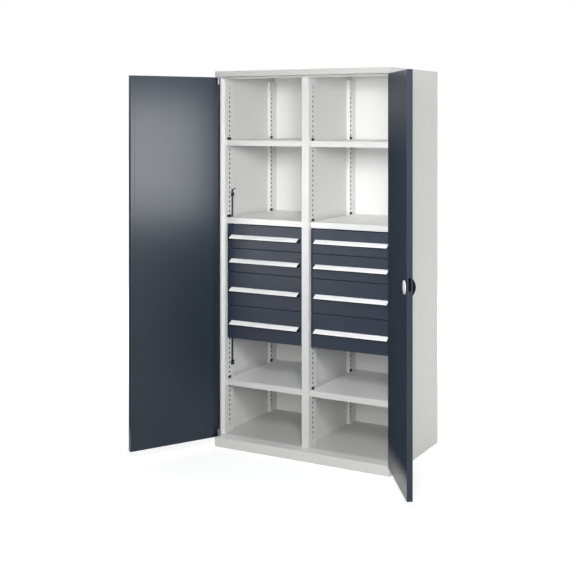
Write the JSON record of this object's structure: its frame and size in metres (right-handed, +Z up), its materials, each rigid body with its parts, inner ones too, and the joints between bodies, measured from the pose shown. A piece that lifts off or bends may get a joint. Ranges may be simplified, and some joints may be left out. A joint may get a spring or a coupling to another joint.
{
  "type": "storage cabinet",
  "caption": "Tall steel storage cabinet with double doors, two columns of shelves on perforated uprights and a block of full-extension drawers.",
  "frame": {"origin": "middle of the carcass footprint, on the floor", "axes": "+X to the right seen from the front, +Y to the back, +Z up; doors stand open at rest"},
  "size_m": [1.5248, 1.0152, 1.95],
  "materials": {
    "light_paint": "fine textured light grey powder coat",
    "dark_paint": "semi-gloss anthracite powder coat",
    "drawer_paint": "satin dark grey-blue powder coat",
    "anodised_strip": "clear anodised, fine lines along its length",
    "zinc_plate": "bright zinc plated",
    "dark_steel": "blackened",
    "black_plastic": "matte black",
    "white_plastic": "white moulded cap",
    "nickel": "nickel plated"
  },
  "bodies": {
    "carcass": {"back_panel": "light_paint", "bar_guides": "black_plastic", "base_panel": "light_paint", "floor_support": "light_paint", "outer_rails_left": "zinc_plate", "outer_rails_right": "zinc_plate", "partition_panel": "light_paint", "pivot_bushes": "black_plastic", "roof_panel": "light_paint", "shelf_clips": "black_plastic", "shelf_left_1": "light_paint", "shelf_left_2": "light_paint", "shelf_left_3": "light_paint", "shelf_right_1": "light_paint", "shelf_right_2": "light_paint", "shelf_right_3": "light_paint", "side_panel_left": "light_paint", "side_panel_right": "light_paint", "uprights_partition_left": "light_paint", "uprights_partition_right": "light_paint", "uprights_wall_left": "light_paint", "uprights_wall_right": "light_paint"},
    "door_left": {"door_shell_left": "dark_paint", "door_liner_left": "dark_paint", "door_pins_left": "zinc_plate"},
    "door_right": {"door_shell_right": "dark_paint", "door_liner_right": "dark_paint", "door_pins_right": "zinc_plate", "lock_case": "zinc_plate", "lock_cap": "white_plastic"},
    "turn_handle": {"turn_handle": "black_plastic"},
    "key_plug": {"key_plug": "nickel"},
    "rod_upper": {"rod_upper": "zinc_plate"},
    "rod_lower": {"rod_lower": "zinc_plate"},
    "latch_tongue": {"latch_tongue": "zinc_plate"},
    "interlock_bar": {"interlock_bar": "dark_steel"},
    "drawer_left_1": {"drawer_left_1": "drawer_paint", "handle_left_1": "anodised_strip"},
    "middle_rails_left_1": {"middle_rails_left_1": "zinc_plate"},
    "drawer_left_2": {"drawer_left_2": "drawer_paint", "handle_left_2": "anodised_strip"},
    "middle_rails_left_2": {"middle_rails_left_2": "zinc_plate"},
    "drawer_left_3": {"drawer_left_3": "drawer_paint", "handle_left_3": "anodised_strip"},
    "middle_rails_left_3": {"middle_rails_left_3": "zinc_plate"},
    "drawer_left_4": {"drawer_left_4": "drawer_paint", "handle_left_4": "anodised_strip"},
    "middle_rails_left_4": {"middle_rails_left_4": "zinc_plate"},
    "drawer_right_1": {"drawer_right_1": "drawer_paint", "handle_right_1": "anodised_strip"},
    "middle_rails_right_1": {"middle_rails_right_1": "zinc_plate"},
    "drawer_right_2": {"drawer_right_2": "drawer_paint", "handle_right_2": "anodised_strip"},
    "middle_rails_right_2": {"middle_rails_right_2": "zinc_plate"},
    "drawer_right_3": {"drawer_right_3": "drawer_paint", "handle_right_3": "anodised_strip"},
    "middle_rails_right_3": {"middle_rails_right_3": "zinc_plate"},
    "drawer_right_4": {"drawer_right_4": "drawer_paint", "handle_right_4": "anodised_strip"},
    "middle_rails_right_4": {"middle_rails_right_4": "zinc_plate"}
  },
  "joints": [
    {"name": "door_left_hinge", "type": "hinge", "parent": "carcass", "child": "door_left", "pos_m": [-0.4895, -0.285, 1], "axis": [0, 0, -1], "range_deg": [-119.6, 60.4]},
    {"name": "door_right_hinge", "type": "hinge", "parent": "carcass", "child": "door_right", "pos_m": [0.4895, -0.285, 1], "axis": [0, 0, 1], "range_deg": [-124.9, 55.1]},
    {"name": "handle_turn", "type": "hinge", "parent": "door_right", "child": "turn_handle", "pos_m": [0.7401, -0.64423, 0.97], "axis": [-0.8202, -0.5721, 0], "range_deg": [0, 90]},
    {"name": "key_turn", "type": "hinge", "parent": "turn_handle", "child": "key_plug", "pos_m": [0.7401, -0.64423, 0.97], "axis": [-0.8202, -0.5721, 0], "range_deg": [0, 90]},
    {"name": "rod_upper_slide", "type": "slide", "parent": "door_right", "child": "rod_upper", "axis": [0, 0, 1], "range_m": [0, 0.015]},
    {"name": "rod_lower_slide", "type": "slide", "parent": "door_right", "child": "rod_lower", "axis": [0, 0, -1], "range_m": [0, 0.015]},
    {"name": "tongue_slide", "type": "slide", "parent": "door_right", "child": "latch_tongue", "axis": [0.5721, -0.8202, 0], "range_m": [0, 0.015]},
    {"name": "bar_lift", "type": "slide", "parent": "carcass", "child": "interlock_bar", "axis": [0, 0, 1], "range_m": [0, 0.006]},
    {"name": "drawer_left_1_slide", "type": "slide", "parent": "carcass", "child": "drawer_left_1", "axis": [0, -1, 0], "range_m": [0, 0.44]},
    {"name": "middle_rails_left_1_slide", "type": "slide", "parent": "carcass", "child": "middle_rails_left_1", "axis": [0, -1, 0], "range_m": [0, 0.22]},
    {"name": "drawer_left_2_slide", "type": "slide", "parent": "carcass", "child": "drawer_left_2", "axis": [0, -1, 0], "range_m": [0, 0.44]},
    {"name": "middle_rails_left_2_slide", "type": "slide", "parent": "carcass", "child": "middle_rails_left_2", "axis": [0, -1, 0], "range_m": [0, 0.22]},
    {"name": "drawer_left_3_slide", "type": "slide", "parent": "carcass", "child": "drawer_left_3", "axis": [0, -1, 0], "range_m": [0, 0.44]},
    {"name": "middle_rails_left_3_slide", "type": "slide", "parent": "carcass", "child": "middle_rails_left_3", "axis": [0, -1, 0], "range_m": [0, 0.22]},
    {"name": "drawer_left_4_slide", "type": "slide", "parent": "carcass", "child": "drawer_left_4", "axis": [0, -1, 0], "range_m": [0, 0.44]},
    {"name": "middle_rails_left_4_slide", "type": "slide", "parent": "carcass", "child": "middle_rails_left_4", "axis": [0, -1, 0], "range_m": [0, 0.22]},
    {"name": "drawer_right_1_slide", "type": "slide", "parent": "carcass", "child": "drawer_right_1", "axis": [0, -1, 0], "range_m": [0, 0.44]},
    {"name": "middle_rails_right_1_slide", "type": "slide", "parent": "carcass", "child": "middle_rails_right_1", "axis": [0, -1, 0], "range_m": [0, 0.22]},
    {"name": "drawer_right_2_slide", "type": "slide", "parent": "carcass", "child": "drawer_right_2", "axis": [0, -1, 0], "range_m": [0, 0.44]},
    {"name": "middle_rails_right_2_slide", "type": "slide", "parent": "carcass", "child": "middle_rails_right_2", "axis": [0, -1, 0], "range_m": [0, 0.22]},
    {"name": "drawer_right_3_slide", "type": "slide", "parent": "carcass", "child": "drawer_right_3", "axis": [0, -1, 0], "range_m": [0, 0.44]},
    {"name": "middle_rails_right_3_slide", "type": "slide", "parent": "carcass", "child": "middle_rails_right_3", "axis": [0, -1, 0], "range_m": [0, 0.22]},
    {"name": "drawer_right_4_slide", "type": "slide", "parent": "carcass", "child": "drawer_right_4", "axis": [0, -1, 0], "range_m": [0, 0.44]},
    {"name": "middle_rails_right_4_slide", "type": "slide", "parent": "carcass", "child": "middle_rails_right_4", "axis": [0, -1, 0], "range_m": [0, 0.22]}
  ],
  "couplings": [
    {"joint": "rod_upper_slide", "follows": "handle_turn", "m_per_rad": 0.0095},
    {"joint": "rod_lower_slide", "follows": "handle_turn", "m_per_rad": 0.0095},
    {"joint": "tongue_slide", "follows": "handle_turn", "m_per_rad": 0.0095},
    {"joint": "middle_rails_left_1_slide", "follows": "drawer_left_1_slide", "ratio": 0.5},
    {"joint": "middle_rails_left_2_slide", "follows": "drawer_left_2_slide", "ratio": 0.5},
    {"joint": "middle_rails_left_3_slide", "follows": "drawer_left_3_slide", "ratio": 0.5},
    {"joint": "middle_rails_left_4_slide", "follows": "drawer_left_4_slide", "ratio": 0.5},
    {"joint": "middle_rails_right_1_slide", "follows": "drawer_right_1_slide", "ratio": 0.5},
    {"joint": "middle_rails_right_2_slide", "follows": "drawer_right_2_slide", "ratio": 0.5},
    {"joint": "middle_rails_right_3_slide", "follows": "drawer_right_3_slide", "ratio": 0.5},
    {"joint": "middle_rails_right_4_slide", "follows": "drawer_right_4_slide", "ratio": 0.5}
  ]
}
